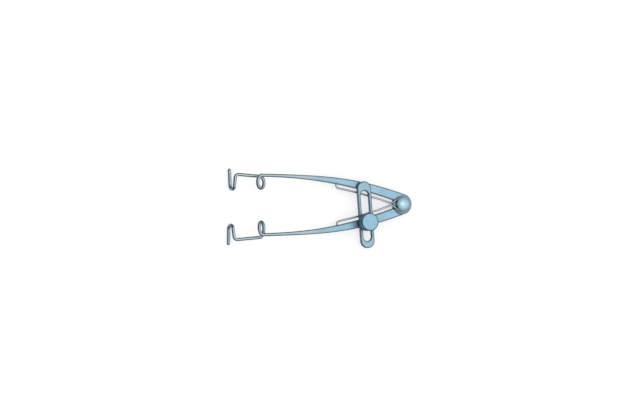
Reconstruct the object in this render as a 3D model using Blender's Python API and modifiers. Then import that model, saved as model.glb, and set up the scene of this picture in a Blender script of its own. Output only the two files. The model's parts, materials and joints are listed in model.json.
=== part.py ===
"""Adjustable wire eyelid speculum.

Two flat arms turn on a domed rivet and are drawn out into round wire. Each wire is bent into an inner
loop, a straight run and an outer hook, which together hold one eyelid. A hairpin spring pushes the arms
apart. A slotted bar, which turns on a screw in the upper arm, is clamped to the lower arm by a knurled
thumb screw.

The instrument lies on its rivet's foot and on its two outer hooks, with z = 0 at the surface under it.
The pivot's axis is the Z axis, the arms reach towards -X, the upper arm lies at +Y, and the thumb screw's
knob is on top.
"""

import math

import bmesh
import bpy
from mathutils import Vector

MM = 0.001

# Clearances
RUN_GAP = 0.05 * MM  # between pieces that turn on each other, and between seated pieces
LAP_GAP = 0.05 * MM  # between the two halves of the hub's lap
LAP_CLEARANCE = 0.12 * MM  # round each hub, inside the other arm's recess
CUT_MARGIN = 1.0 * MM  # how far a cutter reaches past what it cuts

# Arms, flat part
HUB_RADIUS = 4.1 * MM
ARM_THICKNESS = 1.6 * MM
ARM_WIDTH = 3.75 * MM  # at the hub
ARM_EDGE_RADIUS = 0.3 * MM
ARM_REACH = 61.95 * MM  # from the pivot to the start of the inner loop
ARM_SPREAD = 11.9 * MM  # from the middle to each arm's wire, at rest
ARM_ANGLE = math.radians(18.8)  # of an arm to the middle line, at the hub
ARM_END_ANGLE = math.radians(1.4)  # the same, at the inner loop
ARM_BOW_HUB = 22.6 * MM  # how far the arm keeps its hub direction
ARM_BOW_END = 29.1 * MM  # and how far its end direction
TAPER_POWER = 1.15
FLAT_REACH = 29.0 * MM  # the arm is flat and of full thickness up to here
ARM_STATIONS = 26

# Wire ends: each was bent by hand, so the two differ a little
WIRE_DIAMETER = 1.3 * MM
UPPER_LOOP_REACH = 5.1 * MM  # inwards, on the wire's centre line
LOWER_LOOP_REACH = 5.4 * MM
UPPER_LOOP_SPREAD = 3.4 * MM  # along the arm
LOWER_LOOP_SPREAD = 2.7 * MM
LOOP_DROP = 2.7 * MM  # from the arm's wire to the straight run
LOOP_STATIONS = 28
UPPER_RUN_OUTSET = -0.35 * MM  # how far outside the arm's wire the straight run starts
LOWER_RUN_OUTSET = 0.95 * MM
UPPER_RUN_LENGTH = 10.2 * MM
LOWER_RUN_LENGTH = 11.1 * MM
RUN_FLARE = 0.9 * MM  # the run ends this much further out
HOOK_REACH = 5.9 * MM  # inwards from the end of the run
HOOK_DROP = 3.2 * MM  # between the hook's two legs
HOOK_LEG_DROP = 0.8 * MM  # along the connecting leg
HOOK_LEAN = 0.42 * MM  # of the connecting leg, and again of the turn, away from the pivot
HOOK_BEND = 1.35 * MM  # radius where the run turns into the hook
HOOK_TURN_FLAT = 0.06 * MM  # straight wire between the turn's two quarter bends
UPPER_HOOK_TIP = 1.75 * MM  # how far the free leg ends outside the run
LOWER_HOOK_TIP = 1.4 * MM
TIP_LEAN = 0.2 * MM  # of the free leg, away from the pivot
TIP_RINGS = 3  # of the tip's round end
BEND_STEP = math.radians(15)
WIRE_SIDES = 16

# Pivot rivet and its foot
FOOT_HEIGHT = 1.1 * MM
FOOT_RADIUS = 3.3 * MM
FOOT_CHAMFER = 0.15 * MM
SHANK_RADIUS = 1.6 * MM
SPREAD_RADIUS = 2.2 * MM  # the shank's end, spread in the foot's countersink
SPREAD_DEPTH = 0.6 * MM
NECK_RADIUS = 2.45 * MM
NECK_HEIGHT = 0.9 * MM
DOME_RADIUS = 2.75 * MM
DOME_RIM = 0.25 * MM
DOME_CROWN = 1.35 * MM
DOME_RINGS = 9

# Hairpin spring
SPRING_WIRE = 0.75 * MM
RING_CLEARANCE = 0.05 * MM  # round the neck
PINCH_REACH = 5.0 * MM  # where the legs come closest, from the pivot
PINCH_GAP = 0.12 * MM  # between the legs there
PINCH_BEND = 1.2 * MM
LEG_OFFSET = 1.4 * MM  # from the arm's inner edge to the leg's centre line
LEG_DIP_REACH = 8.6 * MM  # where the leg is half way down to the arm's middle
LEG_LEVEL_REACH = 12.4 * MM  # and where it is all the way down, short of the bar
LEG_REACH = 27.8 * MM  # where the leg's end enters the arm
LEG_BEND = 1.2 * MM
LEG_DEPTH = 0.8 * MM  # of its end in the arm
SPRING_SIDES = 8
SPRING_STEP = 0.5 * MM

# Locking bar
BAR_WIDTH = 5.85 * MM
BAR_THICKNESS = 1.4 * MM
BAR_BEVEL = 0.16 * MM
BAR_HEAD_LAND = 3.8 * MM  # solid end round the bar's own pivot
BAR_FOOT_LAND = 2.8 * MM
SLOT_LENGTH = 20.2 * MM
SLOT_WIDTH = 3.5 * MM
BAR_PIVOT_REACH = 16.9 * MM  # along -X, on the upper arm's centre line
BAR_SCREW_RADIUS = 0.8 * MM
BAR_SCREW_DEPTH = 0.9 * MM  # of its blind hole in the bar
BAR_SCREW_HEAD_RADIUS = 1.45 * MM
BAR_SCREW_HEAD_HEIGHT = 0.55 * MM
BAR_SCREW_CHAMFER = 0.12 * MM
DRIVE_SLOT_WIDTH = 0.4 * MM
DRIVE_SLOT_DEPTH = 0.3 * MM

# Thumb screw
THUMB_REACH = 16.05 * MM  # along -X, on the lower arm's centre line
KNOB_RADIUS = 3.6 * MM
KNOB_HEIGHT = 4.0 * MM
KNURL_COUNT = 36
KNURL_DEPTH = 0.2 * MM
KNOB_CHAMFER = 0.17 * MM
SHOULDER_RADIUS = 1.45 * MM
STEM_RADIUS = 0.9 * MM
STEM_TIP = 0.5 * MM  # of the stem below the arm
STEM_CHAMFER = 0.2 * MM

# Heights, from the surface that the instrument lies on
ARM_BOTTOM = FOOT_HEIGHT + RUN_GAP
ARM_MIDDLE = ARM_BOTTOM + ARM_THICKNESS / 2
ARM_TOP = ARM_BOTTOM + ARM_THICKNESS
WIRE_RADIUS = WIRE_DIAMETER / 2
HOOK_LEVEL = WIRE_RADIUS / math.cos(math.pi / WIRE_SIDES)  # so that the wire's corners clear the surface
RUN_LEVEL = HOOK_LEVEL + HOOK_DROP + HOOK_LEG_DROP
WIRE_LEVEL = RUN_LEVEL + LOOP_DROP
BAR_BOTTOM = ARM_TOP + RUN_GAP
BAR_TOP = BAR_BOTTOM + BAR_THICKNESS
KNOB_BOTTOM = BAR_TOP + RUN_GAP

ROUND_SEGMENTS = 48
HUB_SEGMENTS = 64
HOLE_SEGMENTS = 24
SHARP_ANGLE = math.radians(35)
UPPER = 1  # an arm's side of the middle line
LOWER = -1


def smooth(t):
    """Eases from 0 to 1 as t does, level at both ends."""
    t = min(max(t, 0.0), 1.0)
    return t * t * (3 - 2 * t)


def collection(name):
    made = bpy.data.collections.new(name)
    bpy.context.scene.collection.children.link(made)
    return made


def steel(name, color, roughness):
    """A metal material with one colour."""
    made = bpy.data.materials.new(name)
    made.use_nodes = True
    shader = made.node_tree.nodes["Principled BSDF"]
    shader.inputs["Base Color"].default_value = (*color, 1.0)
    shader.inputs["Metallic"].default_value = 1.0
    shader.inputs["Roughness"].default_value = roughness
    return made


def add_object(name, data, where):
    made = bpy.data.objects.new(name, data)
    where.objects.link(made)
    return made


def mesh_object(name, bm, where):
    """Turns a bmesh into an object with its faces pointing out."""
    bmesh.ops.recalc_face_normals(bm, faces=bm.faces)
    mesh = bpy.data.meshes.new(name)
    bm.to_mesh(mesh)
    bm.free()
    return add_object(name, mesh, where)


def loft(name, rings, where):
    """A closed skin over rings of as many points each, capped at both ends."""
    bm = bmesh.new()
    loops = [[bm.verts.new(point) for point in ring] for ring in rings]
    for ring, following in zip(loops, loops[1:]):
        for i, vert in enumerate(ring):
            j = (i + 1) % len(ring)
            bm.faces.new((vert, ring[j], following[j], following[i]))
    bm.faces.new(loops[0])
    bm.faces.new(loops[-1])
    return mesh_object(name, bm, where)


def turned(name, profile, where, steps=ROUND_SEGMENTS):
    """Turns a profile of (radius, height) points, listed from top to bottom, about Z."""
    mesh = bpy.data.meshes.new(name)
    points = [(radius, 0, height) for radius, height in profile]
    mesh.from_pydata(points, [(i, i + 1) for i in range(len(points) - 1)], [])
    made = add_object(name, mesh, where)
    screw = made.modifiers.new("turn", "SCREW")
    screw.steps = screw.render_steps = steps
    screw.use_merge_vertices = True
    screw.merge_threshold = 0.000001
    return made


def cylinder(name, radius, bottom, top, where, center=(0, 0), steps=ROUND_SEGMENTS):
    profile = [(0, top), (radius, top), (radius, bottom), (0, bottom)]
    made = turned(name, profile, where, steps)
    made.location = (*center, 0)
    return made


def cut(target, cutter):
    modifier = target.modifiers.new(f"cut_{cutter.name}", "BOOLEAN")
    modifier.operation = "DIFFERENCE"
    modifier.object = cutter
    cutter.hide_render = True
    cutter.display_type = "WIRE"


def join(target, tool):
    modifier = target.modifiers.new(f"join_{tool.name}", "BOOLEAN")
    modifier.operation = "UNION"
    modifier.object = tool
    tool.hide_render = True
    tool.display_type = "WIRE"


def finish(made, material):
    """Applies a piece's modifiers, shades its round faces smooth and gives it its material."""
    bpy.context.view_layer.update()
    mesh = bpy.data.meshes.new_from_object(made.evaluated_get(bpy.context.evaluated_depsgraph_get()))
    mesh.name = made.name
    made.modifiers.clear()
    made.data = mesh
    mesh.shade_smooth()
    mesh.set_sharp_from_angle(angle=SHARP_ANGLE)
    mesh.materials.clear()
    mesh.materials.append(material)
    return made


def carry(parent, *children):
    """Parents pieces to the one that carries them, each staying where it is."""
    bpy.context.view_layer.update()
    for child in children:
        child.parent = parent
        child.matrix_parent_inverse = parent.matrix_world.inverted()


def arm_center(t):
    """A point of the upper arm's centre line in plan, from the hub (t = 0) to the loop (t = 1)."""
    hub_heading = Vector((-math.cos(ARM_ANGLE), math.sin(ARM_ANGLE)))
    end_heading = Vector((-math.cos(ARM_END_ANGLE), math.sin(ARM_END_ANGLE)))
    outward = Vector((math.sin(ARM_ANGLE), math.cos(ARM_ANGLE)))
    start = outward * (HUB_RADIUS - ARM_WIDTH / 2)
    end = Vector((-ARM_REACH, ARM_SPREAD))
    first = start + hub_heading * ARM_BOW_HUB
    second = end - end_heading * ARM_BOW_END
    s = 1 - t
    return start * s**3 + first * (3 * s * s * t) + second * (3 * s * t * t) + end * t**3


def arm_width(reach):
    share = min(max(reach / ARM_REACH, 0.0), 1.0)
    eased = ((1 + math.cos(math.pi * share)) / 2) ** TAPER_POWER
    return WIRE_DIAMETER + (ARM_WIDTH - WIRE_DIAMETER) * eased


def arm_rise(reach):
    """0 on the flat part of the arm, 1 where the loop starts."""
    return smooth((reach - FLAT_REACH) / (ARM_REACH - FLAT_REACH))


def arm_at(reach):
    """The centre line's point and heading in plan, where it is that far from the pivot along -X."""
    low, high = 0.0, 1.0
    for _ in range(40):
        t = (low + high) / 2
        if -arm_center(t).x < reach:
            low = t
        else:
            high = t
    step = 0.001
    heading = (arm_center(min(t + step, 1)) - arm_center(max(t - step, 0))).normalized()
    return arm_center(t), heading


def arm_inner_edge(reach):
    """The point of the upper arm's inner edge beside the centre line's point, and the way inwards from it."""
    center, heading = arm_at(reach)
    inward = Vector((-heading.y, heading.x))
    if inward.y > 0:
        inward.negate()
    return center + inward * (arm_width(reach) / 2), inward


def section(width, thickness, edge_radius):
    """A rounded rectangle, of WIRE_SIDES points, which is a round wire where the radius fills it."""
    per_corner = WIRE_SIDES // 4
    step = math.tau / WIRE_SIDES
    reach = edge_radius / math.cos(step / 2)
    points = []
    for i in range(WIRE_SIDES):
        angle = step * (i + 0.5)
        corner = i // per_corner
        side = 1 if corner in (0, 3) else -1
        level = 1 if corner in (0, 1) else -1
        x = side * (width / 2 - edge_radius) + reach * math.cos(angle)
        y = level * (thickness / 2 - edge_radius) + reach * math.sin(angle)
        points.append((x, y))
    return points


def filleted(points, radii):
    """A polyline with its inner corners rounded by arcs, a point every BEND_STEP."""
    path = [points[0]]
    for before, corner, after, radius in zip(points, points[1:], points[2:], radii):
        arriving = (corner - before).normalized()
        leaving = (after - corner).normalized()
        turn = arriving.angle(leaving)
        tangent = radius * math.tan(turn / 2)
        start = corner - arriving * tangent
        center = start + (leaving - arriving * arriving.dot(leaving)).normalized() * radius
        spoke = start - center
        steps = max(2, math.ceil(turn / BEND_STEP))
        for i in range(steps + 1):
            angle = turn * i / steps
            path.append(center + spoke * math.cos(angle) + arriving * (radius * math.sin(angle)))
    path.append(points[-1])
    return path


def wire_route(side):
    """An arm's centre line, from the hub to the free tip, laid out at +Y, with the section at each point."""
    if side == UPPER:
        loop_reach, loop_spread, hook_tip = UPPER_LOOP_REACH, UPPER_LOOP_SPREAD, UPPER_HOOK_TIP
        run_outset, run_length = UPPER_RUN_OUTSET, UPPER_RUN_LENGTH
    else:
        loop_reach, loop_spread, hook_tip = LOWER_LOOP_REACH, LOWER_LOOP_SPREAD, LOWER_HOOK_TIP
        run_outset, run_length = LOWER_RUN_OUTSET, LOWER_RUN_LENGTH
    stations = []
    for i in range(ARM_STATIONS + 1):
        plan = arm_center(i / ARM_STATIONS)
        rise = arm_rise(-plan.x)
        level = ARM_MIDDLE + (WIRE_LEVEL - ARM_MIDDLE) * rise
        thickness = ARM_THICKNESS + (WIRE_DIAMETER - ARM_THICKNESS) * rise
        edge_radius = ARM_EDGE_RADIUS + (WIRE_RADIUS - ARM_EDGE_RADIUS) * rise
        width = max(arm_width(-plan.x), 2 * edge_radius)
        stations.append((Vector((plan.x, plan.y, level)), (width, thickness, edge_radius)))
    route = []
    for i in range(1, LOOP_STATIONS + 1):
        angle = math.tau * i / LOOP_STATIONS
        inward = loop_reach / 2 * (1 - math.cos(angle)) - run_outset * (i / LOOP_STATIONS) ** 2
        along = loop_spread / 2 * math.sin(angle)
        drop = LOOP_DROP / 2 * (1 - math.cos(angle / 2))
        route.append(Vector((-ARM_REACH - along, ARM_SPREAD - inward, WIRE_LEVEL - drop)))
    run_start = route.pop()
    run_end = run_start + Vector((-run_length, RUN_FLARE, 0))
    turn_start = run_end + Vector((-HOOK_LEAN, -HOOK_REACH, -HOOK_LEG_DROP))
    turn_end = turn_start + Vector((-HOOK_LEAN, 0, -HOOK_DROP))
    tip = Vector((turn_end.x - TIP_LEAN, run_end.y + hook_tip, turn_end.z))
    turn_radius = ((turn_end - turn_start).length - HOOK_TURN_FLAT) / 2
    route += filleted([run_start, run_end, turn_start, turn_end, tip], [HOOK_BEND, turn_radius, turn_radius])
    wire = (WIRE_DIAMETER, WIRE_DIAMETER, WIRE_RADIUS)
    return stations + [(point, wire) for point in route]


def swept(name, stations, where):
    """Sweeps a changing section along its stations, and rounds off the far end."""
    points = [point for point, _ in stations]
    rings = []
    side = None
    for i, (point, size) in enumerate(stations):
        heading = (points[min(i + 1, len(points) - 1)] - points[max(i - 1, 0)]).normalized()
        if side is None:
            side = heading.cross(Vector((0, 0, 1)))
        side = (side - heading * side.dot(heading)).normalized()
        up = side.cross(heading)
        rings.append([point + side * x + up * y for x, y in section(*size)])
    tip, size = stations[-1]
    for i in range(1, TIP_RINGS + 1):
        angle = math.pi / 2 * i / (TIP_RINGS + 0.5)
        center = tip + heading * (WIRE_RADIUS * math.sin(angle))
        shrink = math.cos(angle)
        rings.append([center + (side * x + up * y) * shrink for x, y in section(*size)])
    return loft(name, rings, where)


def hub_disc(name, where):
    """A disc as thick as the arm, with the arm's own edges, whose rim runs on from the arm's outer edge."""
    rim = [(x, y) for x, y in section(2 * HUB_RADIUS, ARM_THICKNESS, ARM_EDGE_RADIUS) if x > 0]
    rim.sort(key=lambda point: -point[1])
    profile = [(0, rim[0][1]), *rim, (0, rim[-1][1])]
    profile = [(radius, ARM_MIDDLE + height) for radius, height in profile]
    return turned(name, profile, where, HUB_SEGMENTS)


def build_arm(name, side, parts, cutters, material):
    """One arm: a swept blade joined to its half of the lapped hub, with its holes."""
    mirrored = [(Vector((p.x, p.y * side, p.z)), size) for p, size in wire_route(side)]
    arm = swept(name, mirrored, parts)
    join(arm, hub_disc(f"{name}_hub", cutters))
    lap_low = ARM_BOTTOM - CUT_MARGIN if side == UPPER else ARM_MIDDLE - LAP_GAP / 2
    lap_high = ARM_MIDDLE + LAP_GAP / 2 if side == UPPER else ARM_TOP + CUT_MARGIN
    lap_radius = HUB_RADIUS + LAP_CLEARANCE
    lap = cylinder(f"{name}_lap", lap_radius, lap_low, lap_high, cutters, steps=HUB_SEGMENTS)
    cut(arm, lap)
    low, high = ARM_BOTTOM - CUT_MARGIN, ARM_TOP + CUT_MARGIN
    cut(arm, cylinder(f"{name}_pivot_hole", SHANK_RADIUS + RUN_GAP, low, high, cutters))
    reach = BAR_PIVOT_REACH if side == UPPER else THUMB_REACH
    radius = (BAR_SCREW_RADIUS if side == UPPER else STEM_RADIUS) + RUN_GAP
    center = arm_at(reach)[0]
    place = (center.x, center.y * side)
    cut(arm, cylinder(f"{name}_screw_hole", radius, low, high, cutters, place, HOLE_SEGMENTS))
    cut(arm, spring_hole(name, side, cutters))
    return finish(arm, material)


def spring_hole(name, side, cutters):
    """A blind hole across the arm's inner edge, which takes the spring's end."""
    edge, inward = arm_inner_edge(LEG_REACH)
    depth = LEG_DEPTH + RUN_GAP
    length = depth + CUT_MARGIN
    middle = edge + inward * (length / 2 - depth)
    bm = bmesh.new()
    radius = SPRING_WIRE / 2 + RUN_GAP
    size = {"radius1": radius, "radius2": radius, "depth": length}
    bmesh.ops.create_cone(bm, cap_ends=True, segments=SPRING_SIDES, **size)
    hole = mesh_object(f"{name}_spring_hole", bm, cutters)
    axis = Vector((inward.x, inward.y * side, 0))
    hole.rotation_mode = "QUATERNION"
    hole.rotation_quaternion = axis.to_track_quat("Z", "Y")
    hole.location = (middle.x, middle.y * side, ARM_MIDDLE)
    return hole


def build_rivet(parts, material):
    """Domed head over the spring, neck, shank and spread end, turned in one profile."""
    neck_bottom = ARM_TOP + RUN_GAP
    rim_bottom = neck_bottom + NECK_HEIGHT
    rim_top = rim_bottom + DOME_RIM
    ball = (DOME_RADIUS**2 + DOME_CROWN**2) / (2 * DOME_CROWN)
    sweep = math.asin(min(1.0, DOME_RADIUS / ball))
    profile = []
    for i in range(DOME_RINGS + 1):
        angle = sweep * i / DOME_RINGS
        profile.append((ball * math.sin(angle), rim_top + DOME_CROWN - ball * (1 - math.cos(angle))))
    profile += [
        (DOME_RADIUS, rim_bottom),
        (NECK_RADIUS, rim_bottom),
        (NECK_RADIUS, neck_bottom),
        (SHANK_RADIUS, neck_bottom),
        (SHANK_RADIUS, SPREAD_DEPTH),
        (SPREAD_RADIUS, 0),
        (0, 0),
    ]
    return finish(turned("pivot_rivet", profile, parts), material)


def build_washer(parts, material):
    """Countersunk washer, open all through, flush with the rivet's end."""
    hole = SHANK_RADIUS + RUN_GAP
    countersink = SPREAD_RADIUS + RUN_GAP
    profile = [
        (hole, FOOT_HEIGHT),
        (FOOT_RADIUS - FOOT_CHAMFER, FOOT_HEIGHT),
        (FOOT_RADIUS, FOOT_HEIGHT - FOOT_CHAMFER),
        (FOOT_RADIUS, FOOT_CHAMFER),
        (FOOT_RADIUS - FOOT_CHAMFER, 0),
        (countersink, 0),
        (hole, SPREAD_DEPTH),
        (hole, FOOT_HEIGHT),
    ]
    return finish(turned("pivot_washer", profile, parts), material)


def curve_through(knots, leave, step):
    """Points every step along a smooth curve through the knots, which leaves the first one as told."""
    path = []
    for i in range(len(knots) - 1):
        start, end = knots[i], knots[i + 1]
        after = knots[min(i + 2, len(knots) - 1)]
        length = (end - start).length
        leave = leave.normalized() * length
        arrive = ((end - start).normalized() + (after - start).normalized()).normalized() * length
        count = max(1, round(length / step))
        for k in range(count):
            t = k / count
            a, b = 2 * t**3 - 3 * t**2 + 1, t**3 - 2 * t**2 + t
            c, d = -2 * t**3 + 3 * t**2, t**3 - t**2
            path.append(start * a + leave * b + end * c + arrive * d)
        leave = arrive
    path.append(knots[-1])
    return path


def arc_points(center, radius, start, end, level):
    """Points of a level arc between two angles, both ends included."""
    steps = max(2, math.ceil(abs(end - start) / BEND_STEP))
    angles = [start + (end - start) * i / steps for i in range(steps + 1)]
    return [Vector((center.x + radius * math.cos(a), center.y + radius * math.sin(a), level)) for a in angles]


def beside_arm(reach, level):
    """The place of the spring's leg along the upper arm's inner edge."""
    edge, inward = arm_inner_edge(reach)
    return Vector((*(edge + inward * LEG_OFFSET), level))


def spring_leg(ring, level):
    """The upper leg of the spring and its half of the ring, from the far side to the leg's end in the arm."""
    pinch = Vector((-PINCH_REACH, (PINCH_GAP + SPRING_WIRE) / 2 + PINCH_BEND))
    leaving = math.atan2(pinch.y, pinch.x) - math.acos((ring + PINCH_BEND) / pinch.length)
    first = beside_arm(LEG_DIP_REACH, (level + ARM_MIDDLE) / 2)
    ahead = first.xy - pinch
    turned_to = math.atan2(ahead.y, ahead.x) + math.acos(PINCH_BEND / ahead.length)
    path = arc_points(Vector((0, 0)), ring, 0, leaving, level)
    path += arc_points(pinch, PINCH_BEND, leaving + math.pi, turned_to, level)
    start = path.pop()
    heading = Vector((math.sin(turned_to), -math.cos(turned_to), 0))
    straight_end = LEG_REACH - 2 * LEG_BEND
    level_reaches = (LEG_LEVEL_REACH, (LEG_LEVEL_REACH + straight_end) / 2, straight_end)
    knots = [first] + [beside_arm(reach, ARM_MIDDLE) for reach in level_reaches]
    run = curve_through([start, *knots], heading * (first - start).length, SPRING_STEP)
    edge, inward = arm_inner_edge(LEG_REACH)
    end = Vector((*(edge - inward * LEG_DEPTH), ARM_MIDDLE))
    return path + run[:-1] + filleted([run[-1], beside_arm(LEG_REACH, ARM_MIDDLE), end], [LEG_BEND])


def build_spring(parts, material):
    """Round wire: a ring open towards the arms, whose two legs pinch in and then follow the arms."""
    radius = SPRING_WIRE / 2
    leg = spring_leg(NECK_RADIUS + RING_CLEARANCE + radius, ARM_TOP + RUN_GAP + radius)
    route = [Vector((p.x, -p.y, p.z)) for p in reversed(leg[1:])] + leg
    curve = bpy.data.curves.new("hairpin_spring", "CURVE")
    curve.dimensions = "3D"
    curve.bevel_depth = radius
    curve.bevel_resolution = (SPRING_SIDES - 4) // 2
    curve.use_fill_caps = True
    spline = curve.splines.new("POLY")
    spline.points.add(len(route) - 1)
    for knot, place in zip(spline.points, route):
        knot.co = (*place, 1)
    curve.materials.append(material)
    return add_object("hairpin_spring", curve, parts)


def stadium(width, first, last, segments=16):
    """The outline of a slot or bar with round ends, along Y, between the ends' outermost points."""
    radius = width / 2
    points = []
    for center, start in ((last - radius, 0.0), (first + radius, math.pi)):
        for i in range(segments + 1):
            angle = start + math.pi * i / segments
            points.append((radius * math.cos(angle), center + radius * math.sin(angle)))
    return points


def plate(name, outlines, thickness, bevel, where):
    """A flat piece from closed outlines, the later ones being holes, with its edges eased."""
    curve = bpy.data.curves.new(name, "CURVE")
    curve.dimensions = "2D"
    curve.fill_mode = "BOTH"
    curve.extrude = thickness / 2
    for outline in outlines:
        spline = curve.splines.new("POLY")
        spline.points.add(len(outline) - 1)
        for knot, (x, y) in zip(spline.points, outline):
            knot.co = (x, y, 0, 1)
        spline.use_cyclic_u = True
    flat = add_object(name, curve, where)
    mesh = bpy.data.meshes.new_from_object(flat.evaluated_get(bpy.context.evaluated_depsgraph_get()))
    bpy.data.objects.remove(flat)
    bm = bmesh.new()
    bm.from_mesh(mesh)
    bmesh.ops.remove_doubles(bm, verts=bm.verts, dist=0.000001)
    bmesh.ops.dissolve_limit(bm, angle_limit=math.radians(1), verts=bm.verts, edges=bm.edges)
    made = mesh_object(name, bm, where)
    edge = made.modifiers.new("eased_edges", "BEVEL")
    edge.width = bevel
    edge.segments = 2
    edge.limit_method = "ANGLE"
    edge.angle_limit = math.radians(50)
    return made


def bar_frame():
    """The bar's pivot, the thumb screw's axis, and the bar's direction from one to the other."""
    pivot = arm_at(BAR_PIVOT_REACH)[0]
    lower = arm_at(THUMB_REACH)[0]
    thumb = Vector((lower.x, -lower.y))
    return pivot, thumb, (thumb - pivot).normalized()


def build_bar(parts, cutters, material):
    """Slotted bar, lying on both arms, with its origin on its own pivot."""
    pivot, _, heading = bar_frame()
    head = BAR_HEAD_LAND / 2
    slot_end = -head - SLOT_LENGTH
    outline = stadium(BAR_WIDTH, slot_end - BAR_FOOT_LAND, head)
    slot = stadium(SLOT_WIDTH, slot_end, -head)
    bar = plate("lock_bar", [outline, slot], BAR_THICKNESS, BAR_BEVEL, parts)
    bar.location = (pivot.x, pivot.y, BAR_BOTTOM + BAR_THICKNESS / 2)
    bar.rotation_euler.z = math.atan2(heading.y, heading.x) + math.pi / 2
    hole_top = BAR_BOTTOM + BAR_SCREW_DEPTH
    radius = BAR_SCREW_RADIUS + RUN_GAP
    low = BAR_BOTTOM - CUT_MARGIN
    cut(bar, cylinder("bar_screw_hole", radius, low, hole_top, cutters, pivot, HOLE_SEGMENTS))
    return finish(bar, material)


def build_bar_screw(parts, cutters, material):
    """Slotted cheese-head screw, from under the upper arm into the bar."""
    pivot, _, heading = bar_frame()
    head_top = ARM_BOTTOM - RUN_GAP
    head_bottom = head_top - BAR_SCREW_HEAD_HEIGHT
    tip = BAR_BOTTOM + BAR_SCREW_DEPTH - RUN_GAP
    profile = [
        (0, tip),
        (BAR_SCREW_RADIUS - BAR_SCREW_CHAMFER, tip),
        (BAR_SCREW_RADIUS, tip - BAR_SCREW_CHAMFER),
        (BAR_SCREW_RADIUS, head_top),
        (BAR_SCREW_HEAD_RADIUS, head_top),
        (BAR_SCREW_HEAD_RADIUS, head_bottom + BAR_SCREW_CHAMFER),
        (BAR_SCREW_HEAD_RADIUS - BAR_SCREW_CHAMFER, head_bottom),
        (0, head_bottom),
    ]
    screw = turned("bar_screw", profile, parts, HOLE_SEGMENTS)
    screw.location = (pivot.x, pivot.y, 0)
    bm = bmesh.new()
    bmesh.ops.create_cube(bm, size=1)
    length = 2 * BAR_SCREW_HEAD_RADIUS + CUT_MARGIN
    bmesh.ops.scale(bm, vec=(DRIVE_SLOT_WIDTH, length, 2 * DRIVE_SLOT_DEPTH), verts=bm.verts)
    slot = mesh_object("drive_slot", bm, cutters)
    slot.location = (pivot.x, pivot.y, head_bottom)
    slot.rotation_euler.z = math.atan2(heading.y, heading.x)
    cut(screw, slot)
    return finish(screw, material)


def knurled_ring(radius, depth, height):
    """A ring of points whose every second one is cut in by depth."""
    points = []
    for i in range(2 * KNURL_COUNT):
        reach = radius - depth * (i % 2)
        angle = math.pi * i / KNURL_COUNT
        points.append(Vector((reach * math.cos(angle), reach * math.sin(angle), height)))
    return points


def build_thumb_screw(parts, material):
    """Knurled knob on a shoulder that runs in the bar's slot, and a stem screwed into the lower arm."""
    top = KNOB_BOTTOM + KNOB_HEIGHT
    shoulder_bottom = ARM_TOP + RUN_GAP
    tip = ARM_BOTTOM - STEM_TIP
    rim = KNOB_RADIUS - KNOB_CHAMFER
    rings = [
        knurled_ring(rim, 0, top),
        knurled_ring(KNOB_RADIUS, 0, top - KNOB_CHAMFER),
        knurled_ring(KNOB_RADIUS, KNURL_DEPTH, top - 2 * KNOB_CHAMFER),
        knurled_ring(KNOB_RADIUS, KNURL_DEPTH, KNOB_BOTTOM + 2 * KNOB_CHAMFER),
        knurled_ring(KNOB_RADIUS, 0, KNOB_BOTTOM + KNOB_CHAMFER),
        knurled_ring(rim, 0, KNOB_BOTTOM),
        knurled_ring(SHOULDER_RADIUS, 0, KNOB_BOTTOM),
        knurled_ring(SHOULDER_RADIUS, 0, shoulder_bottom),
        knurled_ring(STEM_RADIUS, 0, shoulder_bottom),
        knurled_ring(STEM_RADIUS, 0, tip + STEM_CHAMFER),
        knurled_ring(STEM_RADIUS - STEM_CHAMFER, 0, tip),
    ]
    thumb_screw = loft("thumb_screw", rings, parts)
    thumb = bar_frame()[1]
    thumb_screw.location = (thumb.x, thumb.y, 0)
    return finish(thumb_screw, material)


def build():
    for old in list(bpy.data.objects):
        bpy.data.objects.remove(old)
    parts = collection("eye_speculum")
    cutters = collection("cutters")
    satin = steel("satin_steel", (0.37, 0.53, 0.64), 0.32)
    bright = steel("bright_steel", (0.42, 0.58, 0.70), 0.22)
    spring_steel = steel("spring_steel", (0.45, 0.55, 0.62), 0.25)
    upper_arm = build_arm("upper_arm", UPPER, parts, cutters, satin)
    lower_arm = build_arm("lower_arm", LOWER, parts, cutters, satin)
    rivet = build_rivet(parts, bright)
    washer = build_washer(parts, satin)
    spring = build_spring(parts, spring_steel)
    bar = build_bar(parts, cutters, satin)
    bar_screw = build_bar_screw(parts, cutters, bright)
    thumb_screw = build_thumb_screw(parts, bright)
    carry(bar, bar_screw)
    carry(upper_arm, rivet, washer, spring, bar)
    carry(lower_arm, thumb_screw)


build()
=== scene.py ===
"""Studio scene of the wire eyelid speculum: its steel, its finer pieces, floor, light and camera."""
import json
import math

import bmesh
import bpy
from mathutils import Matrix, Vector


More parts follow.
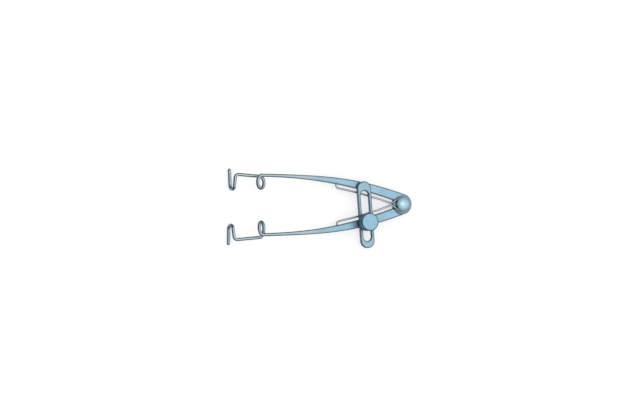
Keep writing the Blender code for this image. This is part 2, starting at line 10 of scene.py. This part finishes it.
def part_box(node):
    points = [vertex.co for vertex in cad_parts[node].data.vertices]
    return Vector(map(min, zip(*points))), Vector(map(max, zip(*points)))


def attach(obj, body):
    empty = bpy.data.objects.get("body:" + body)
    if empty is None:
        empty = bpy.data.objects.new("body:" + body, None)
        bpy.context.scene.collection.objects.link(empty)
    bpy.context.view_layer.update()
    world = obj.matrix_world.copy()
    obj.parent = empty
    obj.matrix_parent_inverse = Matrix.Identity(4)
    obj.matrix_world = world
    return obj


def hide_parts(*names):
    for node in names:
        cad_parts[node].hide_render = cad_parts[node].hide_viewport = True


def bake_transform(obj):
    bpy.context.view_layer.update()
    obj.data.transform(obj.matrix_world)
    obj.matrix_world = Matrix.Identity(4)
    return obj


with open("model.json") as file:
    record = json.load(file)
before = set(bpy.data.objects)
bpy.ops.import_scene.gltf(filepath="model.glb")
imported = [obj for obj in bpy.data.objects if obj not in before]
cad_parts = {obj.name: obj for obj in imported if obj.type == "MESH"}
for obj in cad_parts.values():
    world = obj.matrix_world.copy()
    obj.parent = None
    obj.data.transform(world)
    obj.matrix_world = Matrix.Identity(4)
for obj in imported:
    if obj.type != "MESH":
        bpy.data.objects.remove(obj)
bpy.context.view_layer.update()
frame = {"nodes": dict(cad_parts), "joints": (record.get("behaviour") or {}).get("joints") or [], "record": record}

MM = 0.001
scene = bpy.context.scene
joints = {joint["name"]: joint for joint in frame["joints"]}
bar_axis = joints["bar_pivot"]["pos_m"]
thumb_axis = joints["thumb_turn"]["pos_m"]
thumb_low, thumb_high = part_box("thumb_screw")

# The photograph's view
VIEW_TURN = math.radians(21.4)  # about the row frame's Y
VIEW_TILT = math.radians(1.2)  # about its X
VIEW_ROLL = math.radians(0.95)
VIEW_SCALE = 2.494  # pixels per millimetre
PIVOT_PIXEL = (399.7, 204.3)
FRAME_WIDTH, FRAME_HEIGHT = 630, 420
LENS = 900.0
SENSOR = 36.0
CLIP_START, CLIP_END = 0.1, 30

# Colours, of the picture's pale steel blue
SATIN = (0.320, 0.510, 0.635)
DRAWN = (0.500, 0.590, 0.640)  # the arms' wire ends
BAR = (0.322, 0.490, 0.575)
BRIGHT = (0.290, 0.510, 0.645)
DOME = (0.460, 0.700, 0.820)
SPRING = (0.52, 0.54, 0.58)

# Painted shade: the steel's colour is made darker on walls, edges and crevices
EDGE_SOFTNESS = 0.15 * MM  # radius by which edges look eased
EDGE_SHADE = 0.9 * MM  # how far the darkening of an edge reaches
DOME_EDGE_SHADE = 0.3 * MM
SPRING_EDGE_SHADE = 0.05 * MM
CREVICE_REACH = 0.8 * MM  # how near another surface darkens a crevice
EDGE_SAMPLES, SHADE_SAMPLES = 4, 8
WALL_SHARE = (0.42, 0.50, 0.55)  # of each channel of a colour, on walls
# the bar's and the knob's walls get a deeper painted shade
DARK_WALL_SHARE = (0.17, 0.24, 0.30)  # the same, on the bar and the knob
EDGE_SHARE = (0.02, 0.05, 0.08)  # the same, on edges

# Where the painted shade starts and where it is full, and the most that it does
BLADE_STEEP = (0.998, 0.94)  # uprightness of the surface
WIRE_STEEP = (0.97, 0.86)
DOME_STEEP = (0.97, 0.62)
SPRING_STEEP = (0.97, 0.78)
WALL_STEEP = (0.6, 0.2)  # where the dark colour goes over from an edge's to a wall's
RIM_FLATNESS = (0.985, 0.87)  # how much a point faces as its surroundings do
CREVICE_FREE = (0.92, 0.45)  # share of free space round a point
STEEP_MOST = 0.95
DOME_STEEP_MOST = 0.72
RIM_MOST = 0.9
CREVICE_MOST = 0.85
BLADE_END, WIRE_START = -27 * MM, -44 * MM  # where an arm's satin blade fades into its drawn wire

# Fine texture: noises by scale, detail and roughness, and how much they do
GRAIN_NOISE = (9000, 3.0, 0.6)
CLOUD_NOISE = (260, 3.0, 0.55)
SPECK_NOISE = (2600, 2.0, 0.6)
TURNED_CLOUD_NOISE = (420, 3.0, 0.55)
TURNED_SPECK_NOISE = (3000, 2.0, 0.6)
NOISE_SPAN = (0.3, 0.7)  # the values that nearly all of a noise has
CLOUD_SPAN = (0.35, 0.65)
TURNED_CLOUDS = 0.05  # share by which the clouds are darker and lighter
GRAIN_LIGHTENING = 0.25
ROUGHNESS_SPREAD = 0.03
GRAIN_ROUGHNESS_SPREAD = 0.05
RING_ROUGHNESS_SPREAD = 0.015
RING_CLIMB = 0.6  # share of the rings' spacing that they keep up a wall
SPECK_RELIEF = 1.5  # height of the specks against the rings'
GRAIN_STRENGTH = 0.6
TURNED_STRENGTH = 0.35
ARM_HEADING = math.radians(11)  # of the arms' length against the row frame's X
ALONG_X = (0.06, 1.0, 1.0)  # how a grain is drawn out
ALONG_Y = (1.0, 0.06, 1.0)
ALONG_WIRE = (0.2, 1.0, 1.0)

# Smoothing of the solids
WELD = 0.0005 * MM
FLAT_ANGLE = math.radians(0.3)
SHARP_ANGLE = math.radians(35)
FACE_WEIGHT = 100  # how much a large face counts over a small one beside it
WIRE_TWIST = math.radians(20)  # between the two halves of one flat side of the spring's wire
WIRE_ROUNDING = 2  # subdivisions
WIRE_SWELL = 0.035 * MM  # what rounding takes off the spring's wire

# Thumb screw: its outer sizes are its solid's
KNOB_RADIUS = (thumb_high[0] - thumb_low[0]) / 2
KNOB_TOP = thumb_high[2]
KNOB_HEIGHT = 4.0 * MM
KNOB_BOTTOM = KNOB_TOP - KNOB_HEIGHT
KNOB_CHAMFER = 0.17 * MM
KNURL_COUNT = 36
KNURL_DEPTH = 0.2 * MM
KNURL_STEPS = 8  # points round one ridge and groove
KNURL_LOW, KNURL_HIGH = KNOB_BOTTOM + 2 * KNOB_CHAMFER, KNOB_TOP - 2 * KNOB_CHAMFER
SHOULDER_RADIUS = 1.45 * MM
SHOULDER_HEIGHT = 1.45 * MM
SHOULDER_BOTTOM = KNOB_BOTTOM - SHOULDER_HEIGHT
STEM_RADIUS = 0.9 * MM
STEM_CHAMFER = 0.2 * MM
STEM_BOTTOM = thumb_low[2]
EDGE_EASE = 0.05 * MM
THREAD_PITCH = 0.35 * MM
THREAD_DEPTH = 0.12 * MM
THREAD_ROWS = 10  # of points in one pitch
THREAD_FLANK = 1.5  # steepness of its sides
THREAD_CREST = 0.2  # how far its flat top reaches into them

# Floor and light
FLOOR_HALF = 20
FLOOR_DROP = 0.01 * MM  # keeps the floor off the faces that rest on it
FLOOR_GREY = 0.5
FLOOR_ROUGHNESS = 0.9
FLOOR_GLOSS = 0.1
FLOOR_GLOW = 0.55
HORIZON_LEVEL, SKY_LEVEL = 0.85, 1.02
SKY_HEIGHT = 0.6  # of a direction, from which on the sky is even
KEY_PLACE = (-0.1, 0.08, 0.97)
KEY_SIZE = 0.35
KEY_POWER = 0.6
MIDDLE = (-0.035, 0, 0)  # of the instrument

# Sockets of the Mix node that hold colours
MIX_A, MIX_B, MIX_RESULT = 6, 7, 2


class Nodes:
    """Short calls for building one node tree."""

    def __init__(self, tree):
        self.tree = tree

    def add(self, kind, inputs=(), **settings):
        node = self.tree.nodes.new(kind)
        for name, value in settings.items():
            setattr(node, name, value)
        for name, value in dict(inputs).items():
            self.set(node, name, value)
        return node

    def set(self, node, name, value):
        socket = node.inputs[name]
        if isinstance(value, bpy.types.NodeSocket):
            self.tree.links.new(value, socket)
        else:
            socket.default_value = value

    def set_color(self, node, name, value):
        self.set(node, name, value if isinstance(value, bpy.types.NodeSocket) else (*value, 1.0))

    def math(self, operation, a, b=0.0, clamp=False):
        node = self.add("ShaderNodeMath", {0: a, 1: b}, operation=operation, use_clamp=clamp)
        return node.outputs[0]

    def split(self, vector):
        return self.add("ShaderNodeSeparateXYZ", {0: vector}).outputs

    def noise(self, vector, scale, detail, roughness):
        inputs = {"Vector": vector, "Scale": scale, "Detail": detail, "Roughness": roughness}
        return self.add("ShaderNodeTexNoise", inputs).outputs["Fac"]

    def remap(self, value, low, high, to_low, to_high, interpolation="LINEAR"):
        inputs = {"Value": value, "From Min": low, "From Max": high, "To Min": to_low, "To Max": to_high}
        return self.add("ShaderNodeMapRange", inputs, interpolation_type=interpolation).outputs["Result"]

    def spread(self, noise, middle, reach):
        """A noise brought to the values within reach of the middle."""
        return self.remap(noise, *NOISE_SPAN, middle - reach, middle + reach)

    def mix(self, factor, a, b):
        node = self.add("ShaderNodeMix", data_type="RGBA")
        self.set(node, "Factor", factor)
        self.set_color(node, MIX_A, a)
        self.set_color(node, MIX_B, b)
        return node.outputs[MIX_RESULT]


def principled(name):
    """A new material, its node helper and its shader."""
    material = bpy.data.materials.new(name)
    material.use_nodes = True
    nodes = Nodes(material.node_tree)
    return material, nodes, material.node_tree.nodes["Principled BSDF"]


def clouded(nodes, place, color, amount, noise):
    """The colour with faint clouds, the noise that makes them, and their lighter colour."""
    patches = nodes.noise(place, *noise)
    dark = [channel * (1 - amount) for channel in color]
    light = [min(1.0, channel * (1 + amount)) for channel in color]
    return nodes.mix(nodes.remap(patches, *CLOUD_SPAN, 0.0, 1.0), dark, light), patches, light


def painted_shade(nodes, base, color, reach, steep, wall_shade_share, most=STEEP_MOST, wire=None):
    """The base with painted shade, darker on walls, edges and crevices; and the normal, with eased edges."""
    softness = {"Radius": min(reach, EDGE_SOFTNESS)}
    normal = nodes.add("ShaderNodeBevel", softness, samples=EDGE_SAMPLES).outputs[0]
    wide = nodes.add("ShaderNodeBevel", {"Radius": reach}, samples=SHADE_SAMPLES).outputs[0]
    local = nodes.add("ShaderNodeVectorTransform", {0: wide}, vector_type="NORMAL",
                      convert_from="WORLD", convert_to="OBJECT").outputs[0]
    upright = nodes.math("ABSOLUTE", nodes.split(local)["Z"])
    # painted shade on flanks: the more a surface leans from upright, the darker its colour
    flank = nodes.remap(upright, *steep, 0.0, most)
    if wire:
        flank = nodes.remap(wire, 0.0, 1.0, flank, nodes.remap(upright, *WIRE_STEEP, 0.0, most))
    # painted shade in crevices, from ambient occlusion
    free = nodes.add("ShaderNodeAmbientOcclusion", {"Distance": CREVICE_REACH},
                     samples=SHADE_SAMPLES).outputs["AO"]
    crevice = nodes.remap(free, *CREVICE_FREE, 0.0, CREVICE_MOST)
    # painted shade on edges, where a point faces otherwise than its surroundings
    facing = nodes.add("ShaderNodeNewGeometry").outputs["Normal"]
    flat = nodes.add("ShaderNodeVectorMath", {0: facing, 1: wide},
                     operation="DOT_PRODUCT").outputs["Value"]
    walls = [channel * share for channel, share in zip(color, wall_shade_share)]
    edges = [channel * share for channel, share in zip(color, EDGE_SHARE)]
    dark = nodes.mix(nodes.remap(upright, *WALL_STEEP, 0.0, 1.0), edges, walls)
    dark = nodes.mix(nodes.remap(flat, *RIM_FLATNESS, 0.0, RIM_MOST), dark, edges)
    return nodes.mix(nodes.math("MAXIMUM", flank, crevice), base, dark), normal


def connect(nodes, shader, base, rough, relief):
    """Gives a metal's shader its colour, its roughness and its fine relief."""
    nodes.set(shader, "Base Color", base)
    shader.inputs["Metallic"].default_value = 1.0
    nodes.set(shader, "Roughness", rough)
    nodes.set(shader, "Normal", nodes.add("ShaderNodeBump", relief).outputs[0])


def steel(name, color, roughness, stretch, grain_angle=0.0, grain=0.004 * MM, clouds=0.06,
          reach=EDGE_SHADE, steep=BLADE_STEEP, wall_shade_share=WALL_SHARE, ends=None):
    """Steel with a fine grain along one direction; ends is the colour of an arm's drawn wire."""
    material, nodes, shader = principled(name)
    place = nodes.add("ShaderNodeTexCoord").outputs["Object"]
    turned = nodes.add("ShaderNodeMapping", {"Vector": place, "Rotation": (0, 0, grain_angle)}).outputs[0]
    drawn = nodes.add("ShaderNodeMapping", {"Vector": turned, "Scale": stretch}).outputs[0]
    lines = nodes.noise(drawn, *GRAIN_NOISE)
    specks = nodes.noise(place, *SPECK_NOISE)
    base, patches, light = clouded(nodes, place, color, clouds, CLOUD_NOISE)
    base = nodes.mix(nodes.remap(lines, *NOISE_SPAN, 0.0, GRAIN_LIGHTENING), base, light)
    wire = None
    if ends:
        wire = nodes.remap(nodes.split(place)["X"], BLADE_END, WIRE_START, 0.0, 1.0, "SMOOTHSTEP")
        base = nodes.mix(wire, base, ends)
    # painted shade on walls, edges and crevices
    base, normal = painted_shade(nodes, base, color, reach, steep, wall_shade_share, wire=wire)
    rough = nodes.spread(patches, roughness, ROUGHNESS_SPREAD)
    fine = nodes.math("ADD", nodes.spread(lines, 0.0, GRAIN_ROUGHNESS_SPREAD),
                      nodes.spread(specks, 0.0, ROUGHNESS_SPREAD))
    connect(nodes, shader, base, nodes.math("ADD", rough, fine, clamp=True),
            {"Height": lines, "Distance": grain, "Strength": GRAIN_STRENGTH, "Normal": normal})
    return material


def turned_steel(name, color, roughness, axis=(0, 0), pitch=0.09 * MM, depth=0.004 * MM,
                 reach=EDGE_SHADE, steep=BLADE_STEEP, wall_shade_share=WALL_SHARE, most=STEEP_MOST):
    """Steel turned on a lathe: fine rings round an axis, the object's own Z if none is given."""
    material, nodes, shader = principled(name)
    place = nodes.add("ShaderNodeTexCoord").outputs["Object"]
    centred = nodes.add("ShaderNodeVectorMath", {0: place, 1: (-axis[0], -axis[1], 0)},
                        operation="ADD").outputs[0]
    x, y, z = nodes.split(centred)
    squares = [nodes.math("POWER", nodes.math("ABSOLUTE", side), 2.0) for side in (x, y)]
    travel = nodes.math("ADD", nodes.math("SQRT", nodes.math("ADD", *squares)),
                        nodes.math("MULTIPLY", z, RING_CLIMB))
    rings = nodes.math("SINE", nodes.math("MULTIPLY", travel, math.tau / pitch))
    specks = nodes.noise(place, *TURNED_SPECK_NOISE)
    base = clouded(nodes, place, color, TURNED_CLOUDS, TURNED_CLOUD_NOISE)[0]
    # painted shade on walls, edges and crevices
    base, normal = painted_shade(nodes, base, color, reach, steep, wall_shade_share, most)
    rough = nodes.math("ADD", nodes.spread(specks, roughness, ROUGHNESS_SPREAD),
                       nodes.math("MULTIPLY", rings, RING_ROUGHNESS_SPREAD), clamp=True)
    height = nodes.math("ADD", rings, nodes.math("MULTIPLY", specks, SPECK_RELIEF))
    connect(nodes, shader, base, rough,
            {"Height": height, "Distance": depth, "Strength": TURNED_STRENGTH, "Normal": normal})
    return material


def show(name, mesh, material):
    """A new object in the scene, of one mesh and one material."""
    made = bpy.data.objects.new(name, mesh)
    scene.collection.objects.link(made)
    mesh.materials.clear()
    mesh.materials.append(material)
    return made


def even_normals(made):
    """Keeps flat faces flat to the eye where they meet rounded edges."""
    weighted = made.modifiers.new("even_normals", "WEIGHTED_NORMAL")
    weighted.weight = FACE_WEIGHT
    weighted.keep_sharp = True


def smooth_mesh(name, bm, sharp=SHARP_ANGLE):
    """Turns a bmesh into a mesh with smooth shading and crisp corners."""
    mesh = bpy.data.meshes.new(name)
    bm.to_mesh(mesh)
    bm.free()
    mesh.shade_smooth()
    mesh.set_sharp_from_angle(angle=sharp)
    return mesh


def welded(node):
    """A bmesh of a CAD node with its doubled points joined."""
    bm = bmesh.new()
    bm.from_mesh(frame["nodes"][node].data)
    bmesh.ops.remove_doubles(bm, verts=bm.verts, dist=WELD)
    return bm


def dressed(node, material):
    """A smooth-shaded copy of a CAD node, in its place."""
    bm = welded(node)
    bmesh.ops.dissolve_limit(bm, angle_limit=FLAT_ANGLE, verts=bm.verts, edges=bm.edges)
    made = show(f"{node}_steel", smooth_mesh(f"{node}_steel", bm), material)
    even_normals(made)
    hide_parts(node)
    return made


def rounded_wire(node, material):
    """A CAD node that is a flat-sided wire, made round and as thick as before."""
    bm = welded(node)
    bmesh.ops.join_triangles(bm, faces=bm.faces, angle_face_threshold=WIRE_TWIST,
                             angle_shape_threshold=math.pi)
    made = show(f"{node}_steel", smooth_mesh(f"{node}_steel", bm, math.pi), material)
    rounding = made.modifiers.new("round", "SUBSURF")
    rounding.levels = rounding.render_levels = WIRE_ROUNDING
    swelling = made.modifiers.new("swell", "DISPLACE")
    swelling.mid_level = 0.0
    swelling.strength = WIRE_SWELL
    bpy.context.view_layer.update()
    made.data = bpy.data.meshes.new_from_object(made.evaluated_get(bpy.context.evaluated_depsgraph_get()))
    made.modifiers.clear()
    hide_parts(node)
    return made


def body_of(node):
    """The body that a CAD node belongs to."""
    for body, members in frame["record"]["behaviour"]["bodies"].items():
        if node in members:
            return body
    raise KeyError(node)


def eased_profile(points, radius, steps=3):
    """A profile of (radius, height) points with its corners eased by small arcs."""
    path = [points[0]]
    for before, corner, after in zip(points, points[1:], points[2:]):
        corner = Vector(corner)
        back_way = (Vector(before) - corner).normalized()
        on_way = (Vector(after) - corner).normalized()
        for i in range(steps + 1):
            t = i / steps
            path.append(tuple(corner + radius * (back_way * (1 - t) ** 2 + on_way * t**2)))
    path.append(points[-1])
    return path


def turned_skin(name, profile, segments, relief):
    """A closed turned skin, capped at both ends, whose radius is changed by relief(radius, height, angle)."""
    bm = bmesh.new()
    angles = [math.tau * i / segments for i in range(segments)]
    rings = []
    for radius, height in profile:
        reaches = [radius + relief(radius, height, angle) for angle in angles]
        rings.append([bm.verts.new((reach * math.cos(angle), reach * math.sin(angle), height))
                      for reach, angle in zip(reaches, angles)])
    for ring, following in zip(rings, rings[1:]):
        for i, vert in enumerate(ring):
            j = (i + 1) % segments
            bm.faces.new((vert, following[i], following[j], ring[j]))
    bm.faces.new(rings[0])
    bm.faces.new(reversed(rings[-1]))
    return smooth_mesh(name, bm)


def thumb_screw_relief(radius, height, angle):
    """The knob's straight knurl, between two plain bands, and the stem's thread."""
    outside = max(KNURL_LOW - height, height - KNURL_HIGH, 0.0)
    if radius > KNOB_RADIUS - KNOB_CHAMFER / 2 and outside <= KNOB_CHAMFER:
        return -KNURL_DEPTH * (1 - outside / KNOB_CHAMFER) * (1 - abs(math.cos(KNURL_COUNT * angle / 2)))
    if radius == STEM_RADIUS:
        turn = (height / THREAD_PITCH - angle / math.tau) % 1.0
        return -THREAD_DEPTH * min(1.0, max(0.0, THREAD_FLANK * abs(2 * turn - 1) - THREAD_CREST))
    return 0.0


def thumb_screw_profile():
    """The thumb screw's outline from the middle of its top face to the end of its stem."""
    rim = KNOB_RADIUS - KNOB_CHAMFER
    knob = eased_profile([(0, KNOB_TOP), (rim, KNOB_TOP), (KNOB_RADIUS, KNOB_TOP - KNOB_CHAMFER),
                          (KNOB_RADIUS, KNURL_HIGH)], EDGE_EASE)[1:]
    lower = eased_profile([(KNOB_RADIUS, KNURL_LOW), (KNOB_RADIUS, KNOB_BOTTOM + KNOB_CHAMFER),
                           (rim, KNOB_BOTTOM), (SHOULDER_RADIUS, KNOB_BOTTOM)], EDGE_EASE)
    rows = round((SHOULDER_BOTTOM - STEM_BOTTOM) / (THREAD_PITCH / THREAD_ROWS))
    drop = (SHOULDER_BOTTOM - STEM_BOTTOM - STEM_CHAMFER) / rows
    stem = [(STEM_RADIUS, SHOULDER_BOTTOM - i * drop) for i in range(rows + 1)]
    end = [(STEM_RADIUS - STEM_CHAMFER, STEM_BOTTOM)]
    return knob + lower + [(SHOULDER_RADIUS, SHOULDER_BOTTOM)] + stem + end


# Pieces
# every steel below gets painted shade on walls, edges and crevices; the bar and the knob a deeper one on their
# walls, the dome darker towards its rim
materials = {
    "upper_arm": steel("satin_steel_upper", SATIN, roughness=0.34, grain_angle=ARM_HEADING,
                       stretch=ALONG_X, ends=DRAWN),
    "lower_arm": steel("satin_steel_lower", SATIN, roughness=0.34, grain_angle=-ARM_HEADING,
                       stretch=ALONG_X, ends=DRAWN),
    "lock_bar": steel("satin_steel_bar", BAR, roughness=0.32, stretch=ALONG_Y,
                      wall_shade_share=DARK_WALL_SHARE),
    "pivot_washer": turned_steel("turned_steel_washer", SATIN, roughness=0.34),
    "bar_screw": turned_steel("turned_steel_screw", BRIGHT, roughness=0.3, axis=bar_axis,
                              pitch=0.06 * MM),
    "pivot_rivet": turned_steel("polished_steel_rivet", DOME, roughness=0.32, pitch=0.05 * MM,
                                depth=0.002 * MM, reach=DOME_EDGE_SHADE, steep=DOME_STEEP,
                                most=DOME_STEEP_MOST),
    "thumb_screw": turned_steel("turned_steel_knob", BRIGHT, roughness=0.32, pitch=0.11 * MM,
                                wall_shade_share=DARK_WALL_SHARE),
    "hairpin_spring": steel("drawn_spring_wire", SPRING, roughness=0.26, stretch=ALONG_WIRE,
                            grain=0.002 * MM, clouds=0.03, reach=SPRING_EDGE_SHADE, steep=SPRING_STEEP),
}

for node in ("upper_arm", "lower_arm", "lock_bar", "pivot_washer", "bar_screw", "pivot_rivet"):
    piece = dressed(node, materials[node])
    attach(piece, body_of(node))

thumb_mesh = turned_skin("thumb_screw_steel", thumb_screw_profile(), KNURL_COUNT * KNURL_STEPS,
                         thumb_screw_relief)
thumb_screw = show("thumb_screw_steel", thumb_mesh, materials["thumb_screw"])
thumb_screw.location = (thumb_axis[0], thumb_axis[1], 0)
even_normals(thumb_screw)
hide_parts("thumb_screw")
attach(thumb_screw, body_of("thumb_screw"))

spring = rounded_wire("hairpin_spring", materials["hairpin_spring"])
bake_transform(spring)

# Floor: it glows a little, but only where it is seen, so that it looks white and lights nothing
corners = [(x * FLOOR_HALF, y * FLOOR_HALF, 0) for x, y in ((-1, -1), (1, -1), (1, 1), (-1, 1))]
floor_mesh = bpy.data.meshes.new("floor")
floor_mesh.from_pydata(corners, [], [(0, 1, 2, 3)])
floor_material, floor_nodes, floor_shader = principled("white_floor")
floor_shader.inputs["Base Color"].default_value = (FLOOR_GREY, FLOOR_GREY, FLOOR_GREY, 1)
floor_shader.inputs["Roughness"].default_value = FLOOR_ROUGHNESS
floor_shader.inputs["Specular IOR Level"].default_value = FLOOR_GLOSS
floor_shader.inputs["Emission Color"].default_value = (1, 1, 1, 1)
rays = floor_nodes.add("ShaderNodeLightPath").outputs
seen = floor_nodes.math("MAXIMUM", rays["Is Camera Ray"], rays["Is Glossy Ray"])
seen = floor_nodes.math("MAXIMUM", seen, rays["Is Transmission Ray"])
floor_nodes.set(floor_shader, "Emission Strength", floor_nodes.math("MULTIPLY", seen, FLOOR_GLOW))
floor = show("floor", floor_mesh, floor_material)
floor.location.z = -FLOOR_DROP

# Light: a sky that is about even, and one soft lamp for the dome's highlight
world = bpy.data.worlds.new("studio")
world.use_nodes = True
scene.world = world
sky = Nodes(world.node_tree)
height = sky.split(sky.add("ShaderNodeTexCoord").outputs["Generated"])["Z"]
background = world.node_tree.nodes["Background"]
background.inputs["Color"].default_value = (1, 1, 1, 1)
sky.set(background, "Strength", sky.remap(height, 0.0, SKY_HEIGHT, HORIZON_LEVEL, SKY_LEVEL, "SMOOTHSTEP"))

key_light = bpy.data.lights.new("key", "AREA")
key_light.shape = "DISK"
key_light.size = KEY_SIZE
key_light.energy = KEY_POWER
key = bpy.data.objects.new("key", key_light)
key.location = KEY_PLACE
key.rotation_mode = "QUATERNION"
key.rotation_quaternion = (Vector(MIDDLE) - Vector(KEY_PLACE)).to_track_quat("-Z", "Y")
scene.collection.objects.link(key)

# Camera: the photograph's right and up, then a place straight back from the middle of its frame
right = Vector((math.cos(VIEW_TURN), 0, math.sin(VIEW_TURN)))
up = Vector((-math.sin(VIEW_TILT) * math.sin(VIEW_TURN), math.cos(VIEW_TILT),
             math.sin(VIEW_TILT) * math.cos(VIEW_TURN)))
right, up = (right * math.cos(VIEW_ROLL) - up * math.sin(VIEW_ROLL),
             right * math.sin(VIEW_ROLL) + up * math.cos(VIEW_ROLL))
back = right.cross(up)
centre = (FRAME_WIDTH / 2 - PIVOT_PIXEL[0], PIVOT_PIXEL[1] - FRAME_HEIGHT / 2)
target = (right * centre[0] + up * centre[1]) / VIEW_SCALE * MM
distance = FRAME_WIDTH / VIEW_SCALE * MM * LENS / SENSOR
camera_data = bpy.data.cameras.new("camera")
camera_data.lens = LENS
camera_data.sensor_width = SENSOR
camera_data.clip_start, camera_data.clip_end = CLIP_START, CLIP_END
camera = bpy.data.objects.new("camera", camera_data)
axes = Matrix((right, up, back)).transposed().to_4x4()
camera.matrix_world = Matrix.Translation(target + back * distance) @ axes
scene.collection.objects.link(camera)
scene.camera = camera

scene.view_settings.view_transform = "Standard"

bpy.context.view_layer.update()
